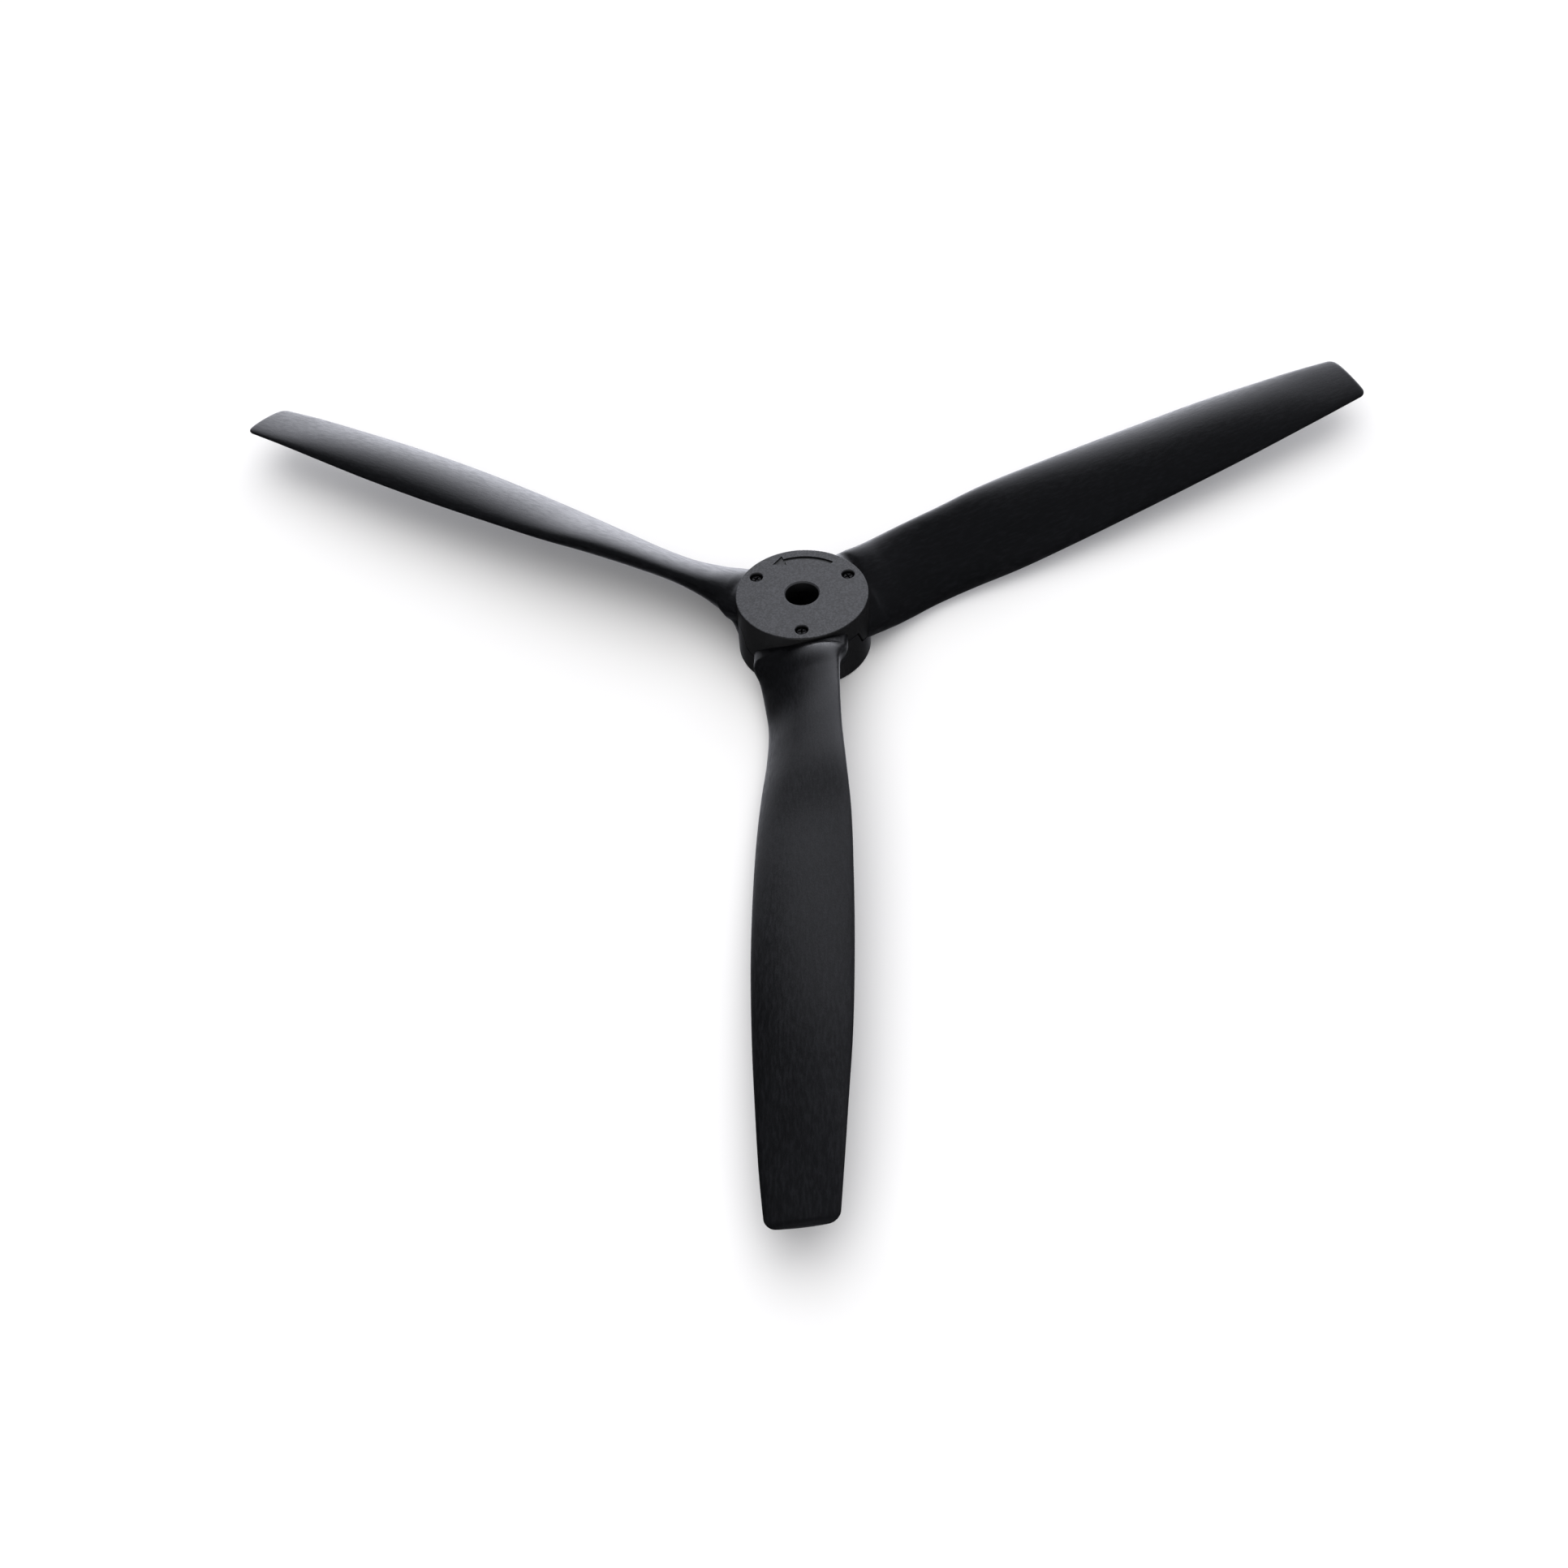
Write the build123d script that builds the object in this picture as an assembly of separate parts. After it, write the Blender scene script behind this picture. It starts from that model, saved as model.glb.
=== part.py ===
from build123d import *

import math
import os

# Three-blade fixed-pitch model aircraft propeller, 10 x 7 inch, in millimetres.
# Frame: origin at the middle of the shaft bore on the rear face, +Z along the shaft
# towards the front of the aircraft. The first blade lies along -Y. Seen from the
# front, the propeller turns counter-clockwise.

# ---- driving dimensions -------------------------------------------------------------

DIAMETER = 254.0
TIP_RADIUS = DIAMETER / 2
BLADE_AZIMUTHS = (-90.0, 30.0, 150.0)
BLADE_SPACING = 120.0

HUB_HEIGHT = 12.0
HUB_REAR_RADIUS = 12.1
HUB_FRONT_RADIUS = 12.0
HUB_EDGE_RADIUS = 0.25
BORE_RADIUS = 3.05
BORE_CHAMFER = 0.25

# The joint between the hub halves follows the blades: it is low at each trailing
# edge, high at each leading edge, and steps down halfway between two blades.
# Angles are measured from a blade's own azimuth, towards its leading edge. The halves
# meet face to face behind the blades, and stand slightly apart between them.
PARTING_LEADING_ANGLE = 43.0
PARTING_STEP_START = 54.5
PARTING_STEP_END = 61.0
PARTING_TRAILING_ANGLE = 74.0
PARTING_LEADING_Z = 8.1
PARTING_STEP_TOP_Z = 7.9
PARTING_STEP_FOOT_Z = 5.0
PARTING_TRAILING_Z = 4.2
PARTING_GAP = 0.15
PARTING_STEP_GAP_ANGLE = 2.0

# The blade feet stop short of a sleeve of solid hub round the bore.
SLEEVE_RADIUS = 5.0

# Blade root inside the hub: a neck through the wall and a wider foot behind it.
ROOT_CENTRE_Z = 6.8
NECK_WIDTH = 10.4
NECK_THICKNESS = 4.0
NECK_INNER_X = 5.6
NECK_OUTER_X = 13.0
FOOT_WIDTH = 12.8
FOOT_THICKNESS = 4.8
FOOT_INNER_X = 4.6
FOOT_OUTER_X = 8.2
ROOT_EDGE_RADIUS = 0.6
ROOT_CLEARANCE = 0.1
WALL_CLEARANCE = 0.03

# Oval collar at the blade root, which bears on the hub wall.
COLLAR_WIDTH = 16.9
COLLAR_THICKNESS = 9.6
COLLAR_CENTRE_Y = -0.2
COLLAR_CENTRE_Z = 6.0
COLLAR_INNER_X = 6.0
COLLAR_RADIUS = 12.9

# Self-tapping clamp screws, one through each blade root.
SCREW_PITCH_RADIUS = 9.6
SCREW_HEAD_RADIUS = 1.1
SCREW_HEAD_HEIGHT = 0.9
SCREW_RECESS_RADIUS = 1.2
SCREW_SEAT_Z = 10.6
SCREW_THREAD_RADIUS = 0.7
SCREW_TIP_Z = 1.2
SCREW_TIP_LENGTH = 0.8
SCREW_CLEARANCE_RADIUS = 0.9
SCREW_PILOT_RADIUS = 0.73
SCREW_PILOT_Z = 0.9
RECESS_CHAMFER = 0.12
CROSS_LENGTH = 1.3
CROSS_WIDTH = 0.3
CROSS_DEPTH = 0.5

# Moulding cores in the rear face, one between each two blades.
CORE_INNER_RADIUS = 6.4
CORE_OUTER_RADIUS = 9.4
CORE_HALF_ANGLE = 17.0
CORE_DEPTH = 2.4
CORE_CORNER_RADIUS = 0.8

# Turning-direction arrow sunk in the front face.
ARROW_RADIUS = 9.7
ARROW_WIDTH = 0.8
ARROW_START = 56.0
ARROW_END = 124.0
ARROW_HEAD_ANGLE = 14.0
ARROW_HEAD_WIDTH = 2.6
ARROW_DEPTH = 0.3

# How far cutting shapes run past the faces they cut.
OVERRUN = 1.0
WELL_OUTSIDE = 20.0

# Blade sections: radius, chord, pitch angle, height of the chord's middle above the
# rear face, thickness, how far the middle line bows up, and how far the chord's middle
# lies ahead of the radius.
BLADE_STATIONS = (
    (12.1, 17.7, 18.0, 6.80, 7.8, 0.00, -0.40),
    (13.5, 16.9, 27.5, 6.75, 7.9, 0.00, -0.35),
    (15.5, 16.5, 33.5, 6.70, 7.5, 0.00, -0.35),
    (18.5, 16.4, 36.5, 6.70, 6.1, 0.25, -0.15),
    (25.0, 16.3, 39.8, 6.85, 4.6, 0.55, 0.30),
    (33.0, 16.6, 38.5, 7.15, 4.5, 0.50, 0.35),
    (42.0, 17.5, 34.2, 7.50, 4.7, 0.45, 0.30),
    (52.0, 17.8, 27.2, 7.65, 4.3, 0.70, 0.40),
    (65.0, 17.6, 21.3, 7.90, 3.8, 1.15, 0.40),
    (80.0, 17.0, 16.5, 8.15, 3.5, 1.35, 0.45),
    (95.0, 15.8, 14.2, 8.30, 3.4, 1.10, 0.55),
    (108.0, 14.0, 12.6, 8.35, 3.0, 0.45, 0.55),
    (118.0, 12.5, 11.2, 8.30, 2.2, 0.00, 0.60),
    (129.0, 10.4, 9.3, 7.90, 1.2, 0.00, 0.80),
)
TIP_AHEAD = 0.75
ROOT_SECTION_X = 7.5
LAST_SECTION_X = 128.7
SECTION_SPACING = 3.0
SECTION_POINTS = 20
NOSE_FULLNESS = 0.10
FULL_NOSE_FROM = 25.0
TIP_CORNER_RADIUS = 1.8
TIP_HALF_WIDTH = 5.45
TRIM_START_X = 100.0
TRIM_START_HALF_WIDTH = 7.8


# ---- shared shapes --------------------------------------------------------------------

def round_post(radius, low_z, high_z):
    """A vertical cylinder on the hub's axis."""
    return Pos(0, 0, low_z) * Cylinder(
        radius, high_z - low_z, align=(Align.CENTER, Align.CENTER, Align.MIN)
    )


def hub_blank(extra_radius=0.0):
    """The slightly tapered drum of the closed hub, widest at the rear."""
    return Cone(
        HUB_REAR_RADIUS + extra_radius,
        HUB_FRONT_RADIUS + extra_radius,
        HUB_HEIGHT,
        align=(Align.CENTER, Align.CENTER, Align.MIN),
    )


def parting_sector(start, end, start_z, end_z, above):
    """A wedge above or below one stretch of the joint line, between two azimuths."""
    half_angle = math.radians(end - start) / 2
    reach = HUB_FRONT_RADIUS * math.sin(half_angle)
    slope = (end_z - start_z) / (2 * reach)
    middle_z = (start_z + end_z) / 2
    side = WELL_OUTSIDE * math.sin(half_angle)
    ahead = WELL_OUTSIDE * math.cos(half_angle)
    far_z = WELL_OUTSIDE if above else -WELL_OUTSIDE
    profile = Polyline(
        (0, -side, far_z),
        (0, side, far_z),
        (0, side, middle_z + slope * side),
        (0, -side, middle_z - slope * side),
        close=True,
    )
    slab = extrude(make_face(profile), amount=WELL_OUTSIDE, dir=(1, 0, 0))
    pie = Polyline((0, 0), (ahead, -side), (ahead, side), close=True)
    wedge = extrude(make_face(pie), amount=2 * WELL_OUTSIDE, dir=(0, 0, 1))
    wedge = Pos(0, 0, -WELL_OUTSIDE) * wedge
    return Rot(0, 0, (start + end) / 2) * (slab & wedge)


def joint_wedges(above, gap=0.0, step_gap=0.0):
    """All the wedges that lie on one side of the joint between the hub halves."""
    behind_blade = PARTING_TRAILING_ANGLE - BLADE_SPACING
    step_start = PARTING_STEP_START + step_gap
    step_end = PARTING_STEP_END + step_gap
    stretches = (
        (behind_blade, PARTING_LEADING_ANGLE, PARTING_TRAILING_Z, PARTING_LEADING_Z, 0.0),
        (PARTING_LEADING_ANGLE, step_start, PARTING_LEADING_Z, PARTING_STEP_TOP_Z, gap),
        (step_start, step_end, PARTING_STEP_TOP_Z, PARTING_STEP_FOOT_Z, gap),
        (step_end, PARTING_TRAILING_ANGLE, PARTING_STEP_FOOT_Z, PARTING_TRAILING_Z, gap),
    )
    wedges = []
    for azimuth in BLADE_AZIMUTHS:
        for start, end, start_z, end_z, lift in stretches:
            wedge = parting_sector(
                azimuth + start, azimuth + end, start_z + lift, end_z + lift, above
            )
            wedges.append(wedge)
    return wedges


def root_bar(inner_x, outer_x, width, thickness):
    """A bar along +X with rounded long edges, one part of a blade root."""
    bar = Box(outer_x - inner_x, width, thickness)
    bar = fillet(bar.edges().filter_by(Axis.X), ROOT_EDGE_RADIUS)
    return Pos((inner_x + outer_x) / 2, 0, 0) * bar


def blade_root(clearance=0.0, outer_x=NECK_OUTER_X):
    """The neck and foot that the hub halves grip, or with clearance their pocket."""
    rise = PARTING_LEADING_Z - PARTING_TRAILING_Z
    root_angle = PARTING_LEADING_ANGLE + BLADE_SPACING - PARTING_TRAILING_ANGLE
    run = 2 * HUB_FRONT_RADIUS * math.sin(math.radians(root_angle) / 2)
    tilt = math.degrees(math.atan(rise / run))
    grow = 2 * clearance
    foot_start = FOOT_INNER_X - clearance
    foot_end = FOOT_OUTER_X + clearance
    foot = root_bar(foot_start, foot_end, FOOT_WIDTH + grow, FOOT_THICKNESS + grow)
    neck = root_bar(NECK_INNER_X, outer_x, NECK_WIDTH + grow, NECK_THICKNESS + grow)
    root = Pos(0, 0, ROOT_CENTRE_Z) * Rot(tilt, 0, 0) * (foot + neck)
    return root - round_post(SLEEVE_RADIUS + ROOT_CLEARANCE - clearance, -OVERRUN, WELL_OUTSIDE)


def at_each_blade(shape):
    """Three copies of a shape, turned to the three blades."""
    return [Rot(0, 0, azimuth) * shape for azimuth in BLADE_AZIMUTHS]


# ---- hub halves -----------------------------------------------------------------------

def half_drum(blank, wedges):
    """What the wedges leave of the drum, with its bore and blade root pockets cut."""
    half = blank - round_post(BORE_RADIUS, -OVERRUN, WELL_OUTSIDE)
    for wedge in wedges:
        half = half - wedge
    pocket = blade_root(ROOT_CLEARANCE, outer_x=HUB_REAR_RADIUS + OVERRUN)
    for blade_pocket in at_each_blade(pocket):
        half = half - blade_pocket
    return half


def screw_passage():
    """Recess for the head and clearance for the shank, through the front half."""
    recess = round_post(SCREW_RECESS_RADIUS, SCREW_SEAT_Z, HUB_HEIGHT + OVERRUN)
    rim = Pos(0, 0, HUB_HEIGHT - RECESS_CHAMFER) * Cone(
        SCREW_RECESS_RADIUS,
        SCREW_RECESS_RADIUS + RECESS_CHAMFER,
        RECESS_CHAMFER,
        align=(Align.CENTER, Align.CENTER, Align.MIN),
    )
    shank = round_post(SCREW_CLEARANCE_RADIUS, SCREW_PILOT_Z, HUB_HEIGHT)
    return Pos(SCREW_PITCH_RADIUS, 0, 0) * (recess + rim + shank)


def bore_edge():
    """A small chamfer for the bore, widening upwards from z = 0."""
    return Cone(
        BORE_RADIUS,
        BORE_RADIUS + BORE_CHAMFER,
        BORE_CHAMFER,
        align=(Align.CENTER, Align.CENTER, Align.MIN),
    )


def turning_arrow():
    """A plain curved arrow that shows which way the propeller turns."""
    neck = ARROW_END - ARROW_HEAD_ANGLE
    middle = (ARROW_START + neck) / 2
    inner = ARROW_RADIUS - ARROW_WIDTH / 2
    outer = ARROW_RADIUS + ARROW_WIDTH / 2
    head_inner = ARROW_RADIUS - ARROW_HEAD_WIDTH / 2
    head_outer = ARROW_RADIUS + ARROW_HEAD_WIDTH / 2

    def point(radius, angle):
        turn = math.radians(angle)
        return (radius * math.cos(turn), radius * math.sin(turn))

    outline = [
        ThreePointArc(point(outer, ARROW_START), point(outer, middle), point(outer, neck)),
        Line(point(outer, neck), point(head_outer, neck)),
        Line(point(head_outer, neck), point(ARROW_RADIUS, ARROW_END)),
        Line(point(ARROW_RADIUS, ARROW_END), point(head_inner, neck)),
        Line(point(head_inner, neck), point(inner, neck)),
        ThreePointArc(point(inner, neck), point(inner, middle), point(inner, ARROW_START)),
        Line(point(inner, ARROW_START), point(outer, ARROW_START)),
    ]
    arrow = extrude(make_face(outline), amount=2 * ARROW_DEPTH, dir=(0, 0, 1))
    return Pos(0, 0, HUB_HEIGHT - ARROW_DEPTH) * arrow


def front_hub_half():
    blank = hub_blank()
    front_edge = blank.edges().sort_by(Axis.Z)[-1]
    blank = fillet(front_edge, HUB_EDGE_RADIUS)
    below = joint_wedges(above=False, gap=PARTING_GAP, step_gap=PARTING_STEP_GAP_ANGLE)
    half = half_drum(blank, below)
    for passage in at_each_blade(screw_passage()):
        half = half - passage
    return half - Pos(0, 0, HUB_HEIGHT - BORE_CHAMFER) * bore_edge() - turning_arrow()


def moulding_core():
    """A rounded pocket cut into the rear face between two blades."""
    ring = Circle(CORE_OUTER_RADIUS) - Circle(CORE_INNER_RADIUS)
    side = WELL_OUTSIDE * math.sin(math.radians(CORE_HALF_ANGLE))
    ahead = WELL_OUTSIDE * math.cos(math.radians(CORE_HALF_ANGLE))
    pie = make_face(Polyline((0, 0), (ahead, -side), (ahead, side), close=True))
    pocket = ring & pie
    pocket = fillet(pocket.vertices(), CORE_CORNER_RADIUS)
    return extrude(pocket, amount=CORE_DEPTH, dir=(0, 0, 1))


def rear_hub_half():
    blank = hub_blank()
    rear_edge = blank.edges().sort_by(Axis.Z)[0]
    blank = fillet(rear_edge, HUB_EDGE_RADIUS)
    half = half_drum(blank, joint_wedges(above=True))
    pilot = round_post(SCREW_PILOT_RADIUS, SCREW_PILOT_Z, HUB_HEIGHT)
    for pilot_hole in at_each_blade(Pos(SCREW_PITCH_RADIUS, 0, 0) * pilot):
        half = half - pilot_hole
    for azimuth in BLADE_AZIMUTHS:
        half = half - Rot(0, 0, azimuth + BLADE_SPACING / 2) * moulding_core()
    return half - Pos(0, 0, BORE_CHAMFER) * Rot(180, 0, 0) * bore_edge()


# ---- blades ---------------------------------------------------------------------------

def station_at(radius):
    """The section's measures at any radius, on smooth curves through the stations."""
    if radius <= BLADE_STATIONS[0][0]:
        return (radius, *BLADE_STATIONS[0][1:])
    after = 1
    while BLADE_STATIONS[after][0] < radius:
        after += 1

    def slope(index, column):
        low = max(index - 1, 0)
        high = min(index + 1, len(BLADE_STATIONS) - 1)
        run = BLADE_STATIONS[high][0] - BLADE_STATIONS[low][0]
        return (BLADE_STATIONS[high][column] - BLADE_STATIONS[low][column]) / run

    start, end = BLADE_STATIONS[after - 1], BLADE_STATIONS[after]
    step = end[0] - start[0]
    t = (radius - start[0]) / step
    blend = 3 * t ** 2 - 2 * t ** 3
    values = [radius]
    for column in range(1, len(start)):
        value = start[column] * (1 - blend) + end[column] * blend
        value += step * slope(after - 1, column) * (t ** 3 - 2 * t ** 2 + t)
        value += step * slope(after, column) * (t ** 3 - t ** 2)
        values.append(value)
    return tuple(values)


def blade_section(radius, chord, pitch, height, thickness, bow, ahead):
    """One closed section, square to the blade's length. Its leading edge is at +Y."""
    fullness = NOSE_FULLNESS if radius > FULL_NOSE_FROM else 0.0
    points = []
    for step in range(SECTION_POINTS):
        turn = 2 * math.pi * step / SECTION_POINTS
        along = chord / 2 * math.cos(turn)
        above = thickness / 2 * math.sin(turn) * (1 + fullness * math.cos(turn))
        above += bow * math.sin(turn) ** 2
        points.append((along, above))
    pitch_turn = math.radians(pitch)
    plane = Plane(
        origin=(radius, ahead, height),
        x_dir=(0, math.cos(pitch_turn), math.sin(pitch_turn)),
        z_dir=(1, 0, 0),
    )
    return plane * make_face(Spline(*points, periodic=True))


def tip_trim():
    """The blade's outline from the front: its end follows the propeller's circle."""
    leading_y = TIP_AHEAD + TIP_HALF_WIDTH
    trailing_y = TIP_AHEAD - TIP_HALF_WIDTH
    leading_x = math.sqrt(TIP_RADIUS ** 2 - leading_y ** 2)
    trailing_x = math.sqrt(TIP_RADIUS ** 2 - trailing_y ** 2)
    outline = [
        Line((0, -WELL_OUTSIDE), (TRIM_START_X, -WELL_OUTSIDE)),
        Line((TRIM_START_X, -WELL_OUTSIDE), (TRIM_START_X, -TRIM_START_HALF_WIDTH)),
        Line((TRIM_START_X, -TRIM_START_HALF_WIDTH), (trailing_x, trailing_y)),
        ThreePointArc((trailing_x, trailing_y), (TIP_RADIUS, 0), (leading_x, leading_y)),
        Line((leading_x, leading_y), (TRIM_START_X, TRIM_START_HALF_WIDTH)),
        Line((TRIM_START_X, TRIM_START_HALF_WIDTH), (TRIM_START_X, WELL_OUTSIDE)),
        Line((TRIM_START_X, WELL_OUTSIDE), (0, WELL_OUTSIDE)),
        Line((0, WELL_OUTSIDE), (0, -WELL_OUTSIDE)),
    ]
    face = make_face(outline)
    corners = face.vertices().sort_by(Axis.X)[-2:]
    rounded = fillet(corners, TIP_CORNER_RADIUS)
    return Pos(0, 0, -WELL_OUTSIDE) * extrude(rounded, amount=3 * WELL_OUTSIDE, dir=(0, 0, 1))


def root_collar():
    """The oval collar, with its outer face curved like the hub wall."""
    plane = Plane(
        origin=(COLLAR_INNER_X, COLLAR_CENTRE_Y, COLLAR_CENTRE_Z), x_dir=(0, 1, 0), z_dir=(1, 0, 0)
    )
    oval = plane * Ellipse(COLLAR_WIDTH / 2, COLLAR_THICKNESS / 2)
    bar = extrude(oval, amount=COLLAR_RADIUS, dir=(1, 0, 0))
    return bar & round_post(COLLAR_RADIUS, -OVERRUN, WELL_OUTSIDE)


def blade():
    """One blade along +X: the moulded section outside the hub, its collar, neck and foot."""
    steps = round((LAST_SECTION_X - ROOT_SECTION_X) / SECTION_SPACING)
    sections = []
    for step in range(steps + 1):
        radius = ROOT_SECTION_X + (LAST_SECTION_X - ROOT_SECTION_X) * step / steps
        sections.append(blade_section(*station_at(radius)))
    body = loft(sections) & tip_trim()
    body = body + root_collar()
    body = body - hub_blank(WALL_CLEARANCE)
    body = body + blade_root()
    screw_hole = round_post(SCREW_CLEARANCE_RADIUS, -OVERRUN, WELL_OUTSIDE)
    return body - Pos(SCREW_PITCH_RADIUS, 0, 0) * screw_hole


# ---- clamp screws ---------------------------------------------------------------------

def clamp_screw():
    """A small pan-head self-tapping screw with a cross recess, head towards the front."""
    head = round_post(SCREW_HEAD_RADIUS, SCREW_SEAT_Z, SCREW_SEAT_Z + SCREW_HEAD_HEIGHT)
    head = fillet(head.edges().sort_by(Axis.Z)[-1], SCREW_HEAD_HEIGHT / 2)
    for angle in (0, 90):
        slot = Rot(0, 0, angle) * Box(CROSS_LENGTH, CROSS_WIDTH, 2 * CROSS_DEPTH)
        head = head - Pos(0, 0, SCREW_SEAT_Z + SCREW_HEAD_HEIGHT) * slot
    shank = round_post(SCREW_THREAD_RADIUS, SCREW_TIP_Z + SCREW_TIP_LENGTH, SCREW_SEAT_Z)
    tip = Pos(0, 0, SCREW_TIP_Z) * Cone(
        SCREW_THREAD_RADIUS / 4,
        SCREW_THREAD_RADIUS,
        SCREW_TIP_LENGTH,
        align=(Align.CENTER, Align.CENTER, Align.MIN),
    )
    return Pos(SCREW_PITCH_RADIUS, 0, 0) * (head + shank + tip)


# ---- write one file for each piece ----------------------------------------------------

os.makedirs("parts", exist_ok=True)
export_step(front_hub_half(), "parts/front_hub_half.step")
export_step(rear_hub_half(), "parts/rear_hub_half.step")
for number, piece in enumerate(at_each_blade(blade()), start=1):
    export_step(piece, f"parts/blade_{number}.step")
for number, piece in enumerate(at_each_blade(clamp_screw()), start=1):
    export_step(piece, f"parts/clamp_screw_{number}.step")
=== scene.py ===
import math

import bmesh
import bpy
from mathutils import Matrix, Vector


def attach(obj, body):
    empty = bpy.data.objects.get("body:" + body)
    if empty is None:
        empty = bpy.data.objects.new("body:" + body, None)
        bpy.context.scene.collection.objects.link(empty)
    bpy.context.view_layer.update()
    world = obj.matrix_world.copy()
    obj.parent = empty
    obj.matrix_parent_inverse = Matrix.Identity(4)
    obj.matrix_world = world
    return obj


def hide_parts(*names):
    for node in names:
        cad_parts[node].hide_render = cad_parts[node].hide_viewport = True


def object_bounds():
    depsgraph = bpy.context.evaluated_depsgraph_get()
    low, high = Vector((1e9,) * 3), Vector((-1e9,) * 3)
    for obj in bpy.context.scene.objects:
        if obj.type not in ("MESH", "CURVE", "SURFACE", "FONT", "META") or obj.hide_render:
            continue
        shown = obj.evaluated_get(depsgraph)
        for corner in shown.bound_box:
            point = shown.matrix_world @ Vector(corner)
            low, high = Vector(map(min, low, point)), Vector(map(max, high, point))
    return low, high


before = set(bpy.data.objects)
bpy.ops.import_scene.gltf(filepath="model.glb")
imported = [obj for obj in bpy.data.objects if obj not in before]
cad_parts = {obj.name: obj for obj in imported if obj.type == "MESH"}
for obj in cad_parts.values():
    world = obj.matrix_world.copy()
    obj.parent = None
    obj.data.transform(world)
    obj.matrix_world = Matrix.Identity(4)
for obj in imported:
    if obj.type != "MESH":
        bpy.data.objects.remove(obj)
cad_low, cad_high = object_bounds()

# ---- The three blades ------------------------------------------------------------------
# Each blade is one moulding of black glass-filled nylon, with a thick root that bears on
# the hub wall, a neck and foot that the hub grips, and a thin, round-edged tip. The glass
# fibres lie along the blade and leave fine pale streaks in its satin skin.

MM = 0.001
BLADE_AZIMUTHS = (-90.0, 30.0, 150.0)

# Radius, chord, pitch in degrees, height of the chord's middle, thickness, bow of the
# middle line, and how far the chord's middle lies ahead of the radius.
BLADE_STATIONS = (
    (12.1, 17.7, 18.0, 6.80, 7.8, 0.00, -0.40),
    (13.5, 16.9, 27.5, 6.75, 7.9, 0.00, -0.35),
    (15.5, 16.5, 33.5, 6.70, 7.5, 0.00, -0.35),
    (18.5, 16.4, 36.5, 6.70, 6.1, 0.25, -0.15),
    (25.0, 16.3, 39.8, 6.85, 4.6, 0.55, 0.30),
    (33.0, 16.6, 38.5, 7.15, 4.5, 0.50, 0.35),
    (42.0, 17.5, 34.2, 7.50, 4.7, 0.45, 0.30),
    (52.0, 17.8, 27.2, 7.65, 4.3, 0.70, 0.40),
    (65.0, 17.6, 21.3, 7.90, 3.8, 1.15, 0.40),
    (80.0, 17.0, 16.5, 8.15, 3.5, 1.35, 0.45),
    (95.0, 15.8, 14.2, 8.30, 3.4, 1.10, 0.55),
    (108.0, 14.0, 12.6, 8.35, 3.0, 0.45, 0.55),
    (118.0, 12.5, 11.2, 8.30, 2.2, 0.00, 0.60),
    (129.0, 10.4, 9.3, 7.90, 1.2, 0.00, 0.80),
)
TIP_RADIUS = 127.0
TIP_CORNER_RADIUS = 1.8
TIP_EDGE_LENGTH = 0.9
RING_POINTS = 72
NOSE_FULLNESS = 0.10

HUB_REAR_RADIUS = 12.1
HUB_TAPER = 0.1
HUB_HEIGHT = 12.0
WALL_CLEARANCE = 0.03

COLLAR_WIDTH = 16.9
COLLAR_THICKNESS = 9.6
COLLAR_CENTRE = (-0.2, 6.0)
COLLAR_REACH = 1.9

ROOT_CENTRE_Z = 6.8
ROOT_TILT = math.radians(13.05)
NECK_SIZE = (10.4, 4.0)
FOOT_SIZE = (12.8, 4.8)
FOOT_OUTER_X = 8.2
SLEEVE_RADIUS = 5.1
# Known fault: this least x lets the foot's end cross the bore. The CAD foot starts at 4.6.
FOOT_LEAST_X = 0.4
BAR_SQUARENESS = 0.35

# Radii between which the rings leave the hub wall's curve, and take up the tip circle's.
ROOT_CURL = (12.0, 24.0)
TIP_CURL = (100.0, 124.0)
CURL_ROUNDS = 4
INNER_HALF = 60.0
NOSE_RANGE = (20.0, 30.0)

COLLAR_EDGE = (0.0, 5.0)
COLLAR_STEPS = 12
COLLAR_CROWDING = 1.5
TIP_STEPS = 16
FINE_UNTIL = 30.0
FINE_SPACING = 0.6
COARSE_SPACING = 1.5
LEAST_TIP_GAP = 1.0
WELD_DISTANCE = 0.002
SHARP_ANGLE = math.radians(50.0)


def smooth_step(value, low, high):
    """0 below low, 1 above high, and a smooth rise between them."""
    t = min(max((value - low) / (high - low), 0.0), 1.0)
    return t * t * (3 - 2 * t)


def station_slope(index, column):
    """How fast one measure changes with radius at a station."""
    low = max(index - 1, 0)
    high = min(index + 1, len(BLADE_STATIONS) - 1)
    run = BLADE_STATIONS[high][0] - BLADE_STATIONS[low][0]
    return (BLADE_STATIONS[high][column] - BLADE_STATIONS[low][column]) / run


def measures_at(radius):
    """Chord, pitch, height, thickness, bow and lead at any radius."""
    if radius <= BLADE_STATIONS[0][0]:
        return BLADE_STATIONS[0][1:]
    after = 1
    while BLADE_STATIONS[after][0] < radius:
        after += 1
    start, end = BLADE_STATIONS[after - 1], BLADE_STATIONS[after]
    step = end[0] - start[0]
    t = (radius - start[0]) / step
    blend = t * t * (3 - 2 * t)
    values = []
    for column in range(1, len(start)):
        value = start[column] * (1 - blend) + end[column] * blend
        value += step * station_slope(after - 1, column) * t * (1 - t) ** 2
        value -= step * station_slope(after, column) * t * t * (1 - t)
        values.append(value)
    return values


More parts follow.
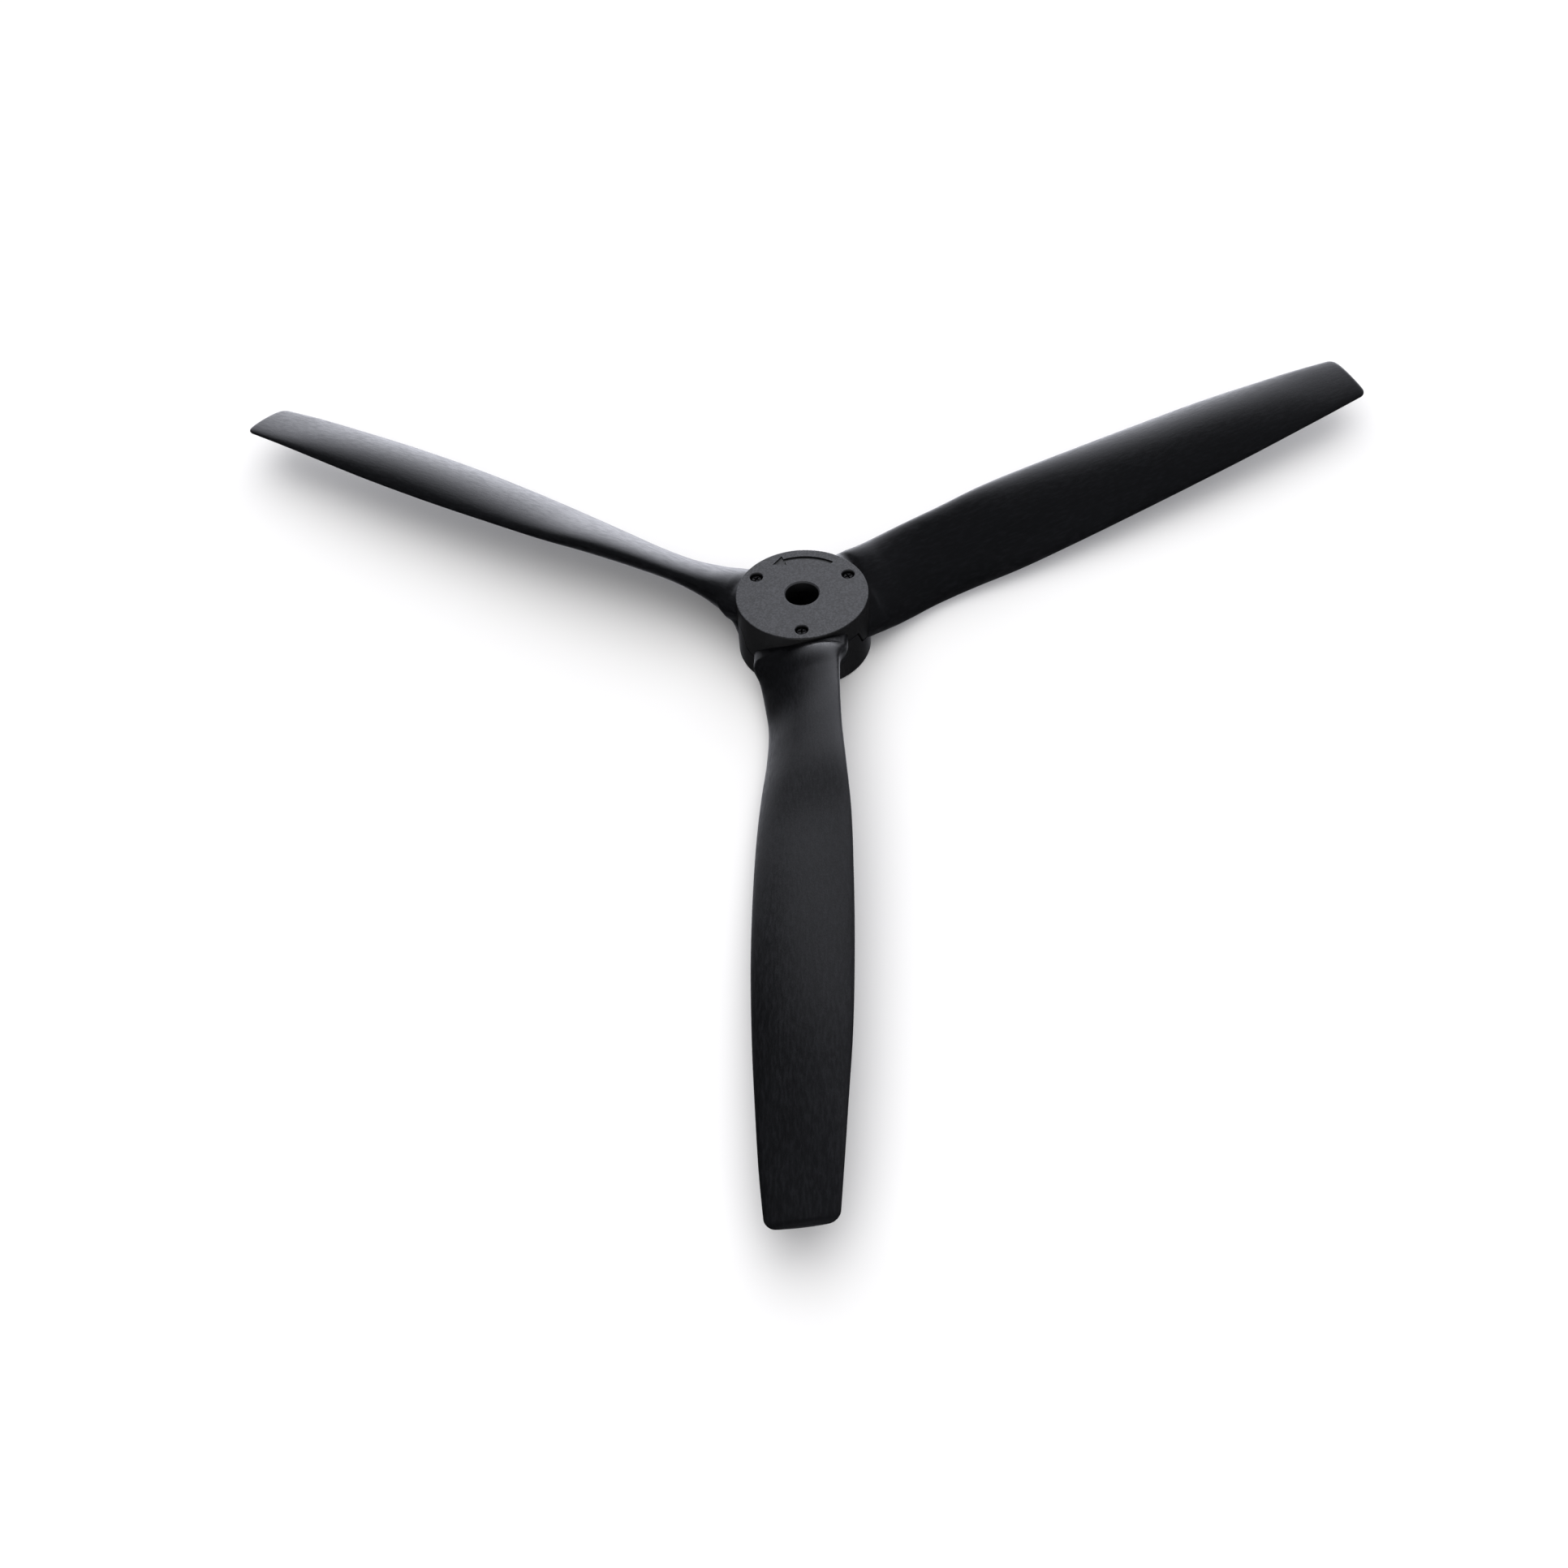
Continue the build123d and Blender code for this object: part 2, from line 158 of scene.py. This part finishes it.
def skin_point(radius, turn):
    """A point of the blade's skin, as (y, z), at one radius and one turn round the section."""
    chord, pitch, height, thickness, bow, ahead = measures_at(radius)
    into_corner = max(radius - (TIP_RADIUS - TIP_CORNER_RADIUS), 0.0)
    corner = math.sqrt(max(TIP_CORNER_RADIUS ** 2 - into_corner ** 2, 0.0))
    chord -= 2 * (TIP_CORNER_RADIUS - corner)
    into_edge = max(radius - (TIP_RADIUS - TIP_EDGE_LENGTH), 0.0) / TIP_EDGE_LENGTH
    thickness *= math.sqrt(max(1 - into_edge ** 2, 0.0))
    fullness = NOSE_FULLNESS * smooth_step(radius, *NOSE_RANGE)
    along = chord / 2 * math.cos(turn)
    above = thickness / 2 * math.sin(turn) * (1 + fullness * math.cos(turn))
    above += bow * math.sin(turn) ** 2
    pitch = math.radians(pitch)
    y = ahead + along * math.cos(pitch) - above * math.sin(pitch)
    z = height + along * math.sin(pitch) + above * math.cos(pitch)
    return y, z


def blade_ring(radius):
    """One ring of skin. It follows the hub wall at the root and the swept circle at the tip."""
    curl = max(1 - smooth_step(radius, *ROOT_CURL), smooth_step(radius, *TIP_CURL))
    ring = []
    for step in range(RING_POINTS):
        turn = 2 * math.pi * step / RING_POINTS
        x = radius
        for _ in range(CURL_ROUNDS):
            own_radius = radius if radius > INNER_HALF else x
            y, z = skin_point(own_radius, turn)
            x = radius - curl * (radius - math.sqrt(max(radius ** 2 - y ** 2, 0.0)))
        ring.append(Vector((x, y, z)))
    return ring


def collared(ring, depth):
    """The ring flared towards the oval collar, on the leading edge's side only."""
    strength = max(1 - depth / COLLAR_REACH, 0.0) ** 2
    pushed = []
    for point in ring:
        flare = strength * smooth_step(point.y, *COLLAR_EDGE)
        y = point.y - COLLAR_CENTRE[0]
        z = point.z - COLLAR_CENTRE[1]
        inside = math.hypot(y / (COLLAR_WIDTH / 2), z / (COLLAR_THICKNESS / 2))
        grow = 1 + flare * max(1 / inside - 1, 0.0)
        pushed.append(Vector((point.x, COLLAR_CENTRE[0] + y * grow, COLLAR_CENTRE[1] + z * grow)))
    return pushed


def on_wall(ring, clearance):
    """The ring laid on the tapered hub wall."""
    laid = []
    for point in ring:
        wall = HUB_REAR_RADIUS - HUB_TAPER * point.z / HUB_HEIGHT + clearance
        laid.append(Vector((math.sqrt(wall ** 2 - point.y ** 2), point.y, point.z)))
    return laid


def root_ring(size, x=None, radius=None):
    """A rounded bar's outline inside the hub, flat at x or curved at a radius."""
    ring = []
    for step in range(RING_POINTS):
        turn = 2 * math.pi * step / RING_POINTS
        cos, sin = math.cos(turn), math.sin(turn)
        along = size[0] / 2 * math.copysign(abs(cos) ** BAR_SQUARENESS, cos)
        above = size[1] / 2 * math.copysign(abs(sin) ** BAR_SQUARENESS, sin)
        y = along * math.cos(ROOT_TILT) - above * math.sin(ROOT_TILT)
        z = ROOT_CENTRE_Z + along * math.sin(ROOT_TILT) + above * math.cos(ROOT_TILT)
        out = x if x is not None else math.sqrt(max(radius ** 2 - y ** 2, 0.0))
        ring.append(Vector((max(out, FOOT_LEAST_X), y, z)))
    return ring


def blade_rings():
    """Every ring of one blade along +X, from the foot inside the hub to the tip."""
    wall = HUB_REAR_RADIUS
    rings = [
        root_ring(FOOT_SIZE, radius=SLEEVE_RADIUS),
        root_ring(FOOT_SIZE, x=FOOT_OUTER_X),
        root_ring(NECK_SIZE, x=FOOT_OUTER_X),
        on_wall(root_ring(NECK_SIZE, radius=wall), WALL_CLEARANCE),
    ]
    for step in range(COLLAR_STEPS + 1):
        depth = COLLAR_REACH * (step / COLLAR_STEPS) ** COLLAR_CROWDING
        ring = collared(blade_ring(wall + depth), depth)
        rings.append(on_wall(ring, WALL_CLEARANCE + depth))
    radius = wall + COLLAR_REACH
    while radius < TIP_RADIUS - TIP_CORNER_RADIUS - LEAST_TIP_GAP:
        radius += FINE_SPACING if radius < FINE_UNTIL else COARSE_SPACING
        radius = min(radius, TIP_RADIUS - TIP_CORNER_RADIUS)
        rings.append(blade_ring(radius))
    for step in range(1, TIP_STEPS + 1):
        inward = 1 - math.sin(math.pi / 2 * step / TIP_STEPS)
        rings.append(blade_ring(TIP_RADIUS - TIP_CORNER_RADIUS * inward))
    return rings


def skin_over(rings):
    """A closed bmesh over a row of rings, in metres."""
    mesh = bmesh.new()
    rows = [[mesh.verts.new(point * MM) for point in ring] for ring in rings]
    for inner, outer in zip(rows, rows[1:]):
        for index in range(len(inner)):
            after = (index + 1) % len(inner)
            mesh.faces.new((inner[index], outer[index], outer[after], inner[after]))
    mesh.faces.new(rows[0])
    mesh.faces.new(rows[-1][::-1])
    bmesh.ops.remove_doubles(mesh, verts=mesh.verts, dist=WELD_DISTANCE * MM)
    bmesh.ops.recalc_face_normals(mesh, faces=mesh.faces)
    return mesh


class Shade:
    """A socket in a material's nodes. Arithmetic on it adds Math nodes."""

    def __init__(self, tree, socket=None):
        self.tree = tree
        self.socket = socket

    def add(self, kind, settings, inputs, output=0):
        """Any node: its settings first, then the values or links of its sockets."""
        node = self.tree.nodes.new("ShaderNode" + kind)
        for name, value in settings.items():
            setattr(node, name, value)
        for name, value in inputs.items():
            if isinstance(value, Shade):
                self.tree.links.new(value.socket, node.inputs[name])
            else:
                node.inputs[name].default_value = value
        return Shade(self.tree, node.outputs[output])

    def math(self, operation, *values):
        return self.add("Math", {"operation": operation}, dict(enumerate(values)))

    def __add__(self, other):
        return self.math("ADD", self, other)

    def __radd__(self, other):
        return self.math("ADD", other, self)

    def __sub__(self, other):
        return self.math("SUBTRACT", self, other)

    def __rsub__(self, other):
        return self.math("SUBTRACT", other, self)

    def __mul__(self, other):
        return self.math("MULTIPLY", self, other)

    def __rmul__(self, other):
        return self.math("MULTIPLY", other, self)

    def rise(self, low, high):
        """0 below low, 1 above high, smooth between them."""
        settings = {"interpolation_type": "SMOOTHSTEP"}
        return self.add("MapRange", settings, {"Value": self, "From Min": low, "From Max": high})


def new_finish(name):
    """A new material, its shader and a start for its nodes."""
    material = bpy.data.materials.new(name)
    material.use_nodes = True
    tree = material.node_tree
    return material, tree.nodes["Principled BSDF"], Shade(tree)


def feed(shader, socket, value):
    """Leads a value into a shader's socket."""
    value.tree.links.new(value.socket, shader.inputs[socket])


NOISE_ROUGHNESS = 0.6


def stretched_noise(place, stretch, detail):
    """Noise whose grains are stretched by different amounts along X, Y and Z, per metre."""
    spread = place.add("VectorMath", {"operation": "MULTIPLY"}, {0: place, 1: stretch})
    inputs = {"Vector": spread, "Scale": 1.0, "Detail": detail, "Roughness": NOISE_ROUGHNESS}
    return place.add("TexNoise", {}, inputs)


def tint(start, amount, dark, pale):
    """A colour between two, by an amount from 0 to 1. The dark one may come from nodes."""
    settings = {"data_type": "RGBA"}
    first = dark if isinstance(dark, Shade) else (*dark, 1.0)
    return start.add("Mix", settings, {0: amount, 6: first, 7: (*pale, 1.0)}, output=2)


BLADE_BLACK = (0.0038, 0.0042, 0.0056)
BLADE_STREAK = (0.0170, 0.0178, 0.0225)
STREAK_STRETCH = (520.0, 2500.0, 2500.0)
CLOUD_STRETCH = (30.0, 120.0, 120.0)
PEBBLE_STRETCH = (2200.0, 3600.0, 3600.0)
STREAK_DEPTH = 0.00004

blade_skin, shader, start = new_finish("blade nylon")
place = start.add("TexCoord", {}, {}, output=3)
streaks = stretched_noise(place, STREAK_STRETCH, 4.0)
clouds = stretched_noise(place, CLOUD_STRETCH, 2.0)
pebbles = stretched_noise(place, PEBBLE_STRETCH, 3.0)
paleness = streaks.rise(0.42, 0.78) * 0.75 + clouds.rise(0.35, 0.75) * 0.25
feed(shader, "Base Color", tint(start, paleness, BLADE_BLACK, BLADE_STREAK))
feed(shader, "Roughness", 0.28 + streaks.rise(0.35, 0.7) * 0.12 + clouds * 0.05)
height = streaks * 0.6 + pebbles * 0.4
relief = start.add("Bump", {}, {"Strength": 0.8, "Distance": STREAK_DEPTH, "Height": height})
feed(shader, "Normal", relief)

blade_mesh = bpy.data.meshes.new("blade")
shape = skin_over(blade_rings())
shape.to_mesh(blade_mesh)
shape.free()
blade_mesh.materials.append(blade_skin)
for polygon in blade_mesh.polygons:
    polygon.use_smooth = True
blade_mesh.set_sharp_from_angle(angle=SHARP_ANGLE)

for number, azimuth in enumerate(BLADE_AZIMUTHS, start=1):
    blade = bpy.data.objects.new(f"moulded_blade_{number}", blade_mesh.copy())
    bpy.context.scene.collection.objects.link(blade)
    blade.rotation_euler.z = math.radians(azimuth)
    bpy.context.view_layer.update()
    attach(blade, "root")
    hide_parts(f"blade_{number}")

# ---- The hub halves ----------------------------------------------------------------------
# Two mouldings of the same black nylon that close round the blade roots. The front one
# has an even sparked grain on its face. Pale rims round the bore and the screw recesses
# are painted highlight with some wear. The walls of both are smoother, and they, the
# recess floors and the engraved arrow are painted darker than the face, as shade.

FACE_Z = HUB_HEIGHT * MM
BORE_RADIUS = 3.05
SCREW_PITCH_RADIUS = 9.6
RECESS_RADIUS = 1.2
HUB_BLACK = (0.0080, 0.0082, 0.0090)
HUB_GRAIN = (0.0700, 0.0710, 0.0780)
RIM_HIGHLIGHT_GREY = (0.1200, 0.1200, 0.1280)
HUB_GRAIN_STRETCH = (2700.0, 2700.0, 2700.0)
HUB_PATCH_STRETCH = (160.0, 160.0, 160.0)
HUB_GRAIN_DEPTH = 0.00005


def hub_finish(name):
    """Black nylon with a grained front face, painted darker below it as shade, and pale rims painted
    as highlight with some wear.
    """
    material, shader, start = new_finish(name)
    place = start.add("TexCoord", {}, {}, output=3)
    height = place.add("SeparateXYZ", {}, {"Vector": place}, output=2)
    face = height.rise(FACE_Z - 0.00012, FACE_Z - 0.00003)
    grain = stretched_noise(place, HUB_GRAIN_STRETCH, 4.0)
    patches = stretched_noise(place, HUB_PATCH_STRETCH, 2.0)
    axis = place.add("VectorMath", {"operation": "MULTIPLY"}, {0: place, 1: (1.0, 1.0, 0.0)})
    from_axis = axis.add("VectorMath", {"operation": "LENGTH"}, {0: axis}, output=1)
    rims = 1 - from_axis.rise((BORE_RADIUS + 0.20) * MM, (BORE_RADIUS + 0.42) * MM)
    for azimuth in BLADE_AZIMUTHS:
        turn = math.radians(azimuth)
        out = SCREW_PITCH_RADIUS * MM
        centre = (out * math.cos(turn), out * math.sin(turn), 0.0)
        gap = axis.add("VectorMath", {"operation": "DISTANCE"}, {0: axis, 1: centre}, output=1)
        rims = rims + (1 - gap.rise((RECESS_RADIUS + 0.08) * MM, (RECESS_RADIUS + 0.24) * MM))
    near_face = height.rise(FACE_Z - 0.0004, FACE_Z - 0.0002)
    speckle = grain.rise(0.38, 0.66) * 0.85 + patches * 0.15
    # Painted shade: only the top face gets the full pale grain, so the walls, recess floors, engraved
    # arrow and bore stay darker, as if shaded.
    skin = tint(start, face * speckle + (1 - face) * grain.rise(0.5, 0.9) * 0.25, HUB_BLACK, HUB_GRAIN)
    # Painted highlight with some wear: the rims round the bore and screw recesses turn pale grey,
    # where their chamfers catch light.
    highlight_and_wear = rims.math("MINIMUM", rims, 1.0) * near_face * 0.5
    feed(shader, "Base Color", tint(start, highlight_and_wear, skin, RIM_HIGHLIGHT_GREY))
    feed(shader, "Roughness", 0.46 + face * 0.08 + grain * 0.08)
    bump = start.add("Bump", {}, {"Strength": 0.6, "Distance": HUB_GRAIN_DEPTH, "Height": grain})
    feed(shader, "Normal", bump)
    return material


hub_skin = hub_finish("hub nylon")
for node in ("front_hub_half", "rear_hub_half"):
    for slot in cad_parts[node].material_slots:
        slot.material = hub_skin

# ---- The clamp screws --------------------------------------------------------------------
# Three small self-tapping screws of blackened steel, driven through the front half and
# the blade necks into the rear half. Random scuffs show brighter, worn steel.

SCREW_BLACK = (0.020, 0.020, 0.022)
SCREW_WORN = (0.110, 0.108, 0.105)

screw_skin, shader, start = new_finish("blackened screw steel")
place = start.add("TexCoord", {}, {}, output=3)
scuffs = stretched_noise(place, (2600.0, 2600.0, 2600.0), 4.0)
feed(shader, "Base Color", tint(start, scuffs.rise(0.45, 0.75), SCREW_BLACK, SCREW_WORN))
feed(shader, "Roughness", 0.34 + scuffs * 0.22)
shader.inputs["Metallic"].default_value = 0.9
for number in (1, 2, 3):
    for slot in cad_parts[f"clamp_screw_{number}"].material_slots:
        slot.material = screw_skin

# ---- Floor, light and camera -------------------------------------------------------------
# A plain white floor with two soft lights of its own, and two more on the hub halves only.
# The blades are lit by soft glows in the air round them. The camera looks down at the front.

floor_mesh = bpy.data.meshes.new("floor")
FLOOR_HALF = 0.85
FLOOR_Z = cad_low.z - 0.00005
corners = [(-FLOOR_HALF, -FLOOR_HALF, FLOOR_Z), (FLOOR_HALF, -FLOOR_HALF, FLOOR_Z)]
corners += [(FLOOR_HALF, FLOOR_HALF, FLOOR_Z), (-FLOOR_HALF, FLOOR_HALF, FLOOR_Z)]
floor_mesh.from_pydata(corners, [], [(0, 1, 2, 3)])
floor = bpy.data.objects.new("floor", floor_mesh)
bpy.context.scene.collection.objects.link(floor)
floor_paint, shader, start = new_finish("white floor")
shader.inputs["Base Color"].default_value = (0.90, 0.90, 0.90, 1.0)
shader.inputs["Roughness"].default_value = 0.9
shader.inputs["Specular IOR Level"].default_value = 0.1
floor_mesh.materials.append(floor_paint)


def soft_light(name, azimuth, elevation, distance, width, height, watts, colour, lit):
    """A rectangular light that faces the propeller, shines on some things only, and isn't seen."""
    lamp = bpy.data.lights.new(name, "AREA")
    lamp.shape = "RECTANGLE"
    lamp.size = width
    lamp.size_y = height
    lamp.energy = watts
    lamp.color = colour
    light = bpy.data.objects.new(name, lamp)
    turn, rise = math.radians(azimuth), math.radians(elevation)
    out = Vector((math.cos(turn) * math.cos(rise), math.sin(turn) * math.cos(rise), math.sin(rise)))
    light.location = out * distance
    light.rotation_euler = out.to_track_quat("Z", "Y").to_euler()
    light.visible_camera = False
    bpy.context.scene.collection.objects.link(light)
    receivers = bpy.data.collections.new(name + " receivers")
    for thing in lit:
        receivers.objects.link(thing)
    light.light_linking.receiver_collection = receivers


FLOOR_LIGHT_COLOUR = (1.0, 0.99, 0.98)
hub_halves = [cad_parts["front_hub_half"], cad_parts["rear_hub_half"]]
soft_light("top light", 92.0, 66.0, 1.4, 2.4, 2.0, 20.5, FLOOR_LIGHT_COLOUR, [floor])
soft_light("low light", -90.0, 50.0, 1.6, 2.8, 1.6, 21.0, FLOOR_LIGHT_COLOUR, [floor])
soft_light("hub light", 62.0, 58.0, 1.3, 0.8, 0.6, 8.5, (0.94, 0.96, 1.0), hub_halves)
soft_light("wall light", -88.0, 8.0, 1.3, 0.8, 0.6, 6.0, (1.0, 1.0, 1.0), hub_halves)
floor.visible_glossy = False

# The studio is dim, with strong soft glows low behind the propeller and weak ones in front,
# at the sides, below and overhead. Past the floor, the camera sees plain white.
GLOW_COLOUR = (0.90, 0.915, 1.0)
BACKDROP_WHITE = (1.0, 1.0, 1.0)
GLOW_EDGE = 0.7
BACKDROP_STRENGTH = 1.0
ROOM_STRENGTH = 0.02
# Azimuth and elevation in degrees, and strength.
GLOWS = (
    (90.0, -40.0, 0.25),
    (90.0, -10.0, 1.90),
    (90.0, 15.0, 1.60),
    (60.0, 15.0, 0.30),
    (0.0, 35.0, 0.12),
    (180.0, 35.0, 0.08),
    (-90.0, -45.0, 0.40),
    (-90.0, 35.0, 0.25),
    (90.0, 85.0, 0.10),
)
world = bpy.data.worlds.new("studio")
world.use_nodes = True
backdrop = world.node_tree.nodes["Background"]
air = Shade(world.node_tree)
aim = air.add("TexCoord", {}, {}, output=0)


def glow(azimuth, elevation, strength):
    """A round soft glow that fades out evenly with the cosine of the angle from its middle."""
    turn, rise = math.radians(azimuth), math.radians(elevation)
    middle = (math.cos(turn) * math.cos(rise), math.sin(turn) * math.cos(rise), math.sin(rise))
    facing = air.add("VectorMath", {"operation": "DOT_PRODUCT"}, {0: aim, 1: middle}, output=1)
    inside = (facing - GLOW_EDGE) * (1 / (1 - GLOW_EDGE))
    return inside.math("MAXIMUM", inside, 0.0) * strength


studio = glow(*GLOWS[0]) + ROOM_STRENGTH
for spot in GLOWS[1:]:
    studio = studio + glow(*spot)
seen = air.add("LightPath", {}, {}, output=0)
feed(backdrop, "Color", tint(air, seen, GLOW_COLOUR, BACKDROP_WHITE))
feed(backdrop, "Strength", seen * BACKDROP_STRENGTH + (1 - seen) * studio)
bpy.context.scene.world = world
bpy.context.scene.view_settings.view_transform = "Standard"

CAMERA_LENS = 46.77
CAMERA_ELEVATION = math.radians(46.848)
CAMERA_SWING = math.radians(2.749)
CAMERA_ROLL = math.radians(-3.758)
CAMERA_OFFSET = (3.796, -33.737, 365.679)
CAMERA_SHIFT = (-0.0249, -0.0019)
SENSOR_WIDTH = 36.0
VIEW_RANGE = (0.01, 20.0)

turn = math.radians(-90.0) + CAMERA_SWING
flat = math.cos(CAMERA_ELEVATION)
back = Vector((math.cos(turn) * flat, math.sin(turn) * flat, math.sin(CAMERA_ELEVATION)))
level = (-back).cross(Vector((0.0, 0.0, 1.0))).normalized()
upright = back.cross(level)
right = math.cos(CAMERA_ROLL) * level + math.sin(CAMERA_ROLL) * upright
up = math.cos(CAMERA_ROLL) * upright - math.sin(CAMERA_ROLL) * level

lens = bpy.data.cameras.new("camera")
lens.lens = CAMERA_LENS
lens.sensor_width = SENSOR_WIDTH
lens.shift_x, lens.shift_y = CAMERA_SHIFT
lens.clip_start, lens.clip_end = VIEW_RANGE
camera = bpy.data.objects.new("camera", lens)
bpy.context.scene.collection.objects.link(camera)
front_centre = Vector((0.0, 0.0, HUB_HEIGHT))
offset = CAMERA_OFFSET[0] * right + CAMERA_OFFSET[1] * up + CAMERA_OFFSET[2] * back
camera.location = (front_centre + offset) * MM
axes = [[right[row], up[row], back[row]] for row in range(3)]
camera.rotation_euler = Matrix(axes).to_euler()
bpy.context.scene.camera = camera
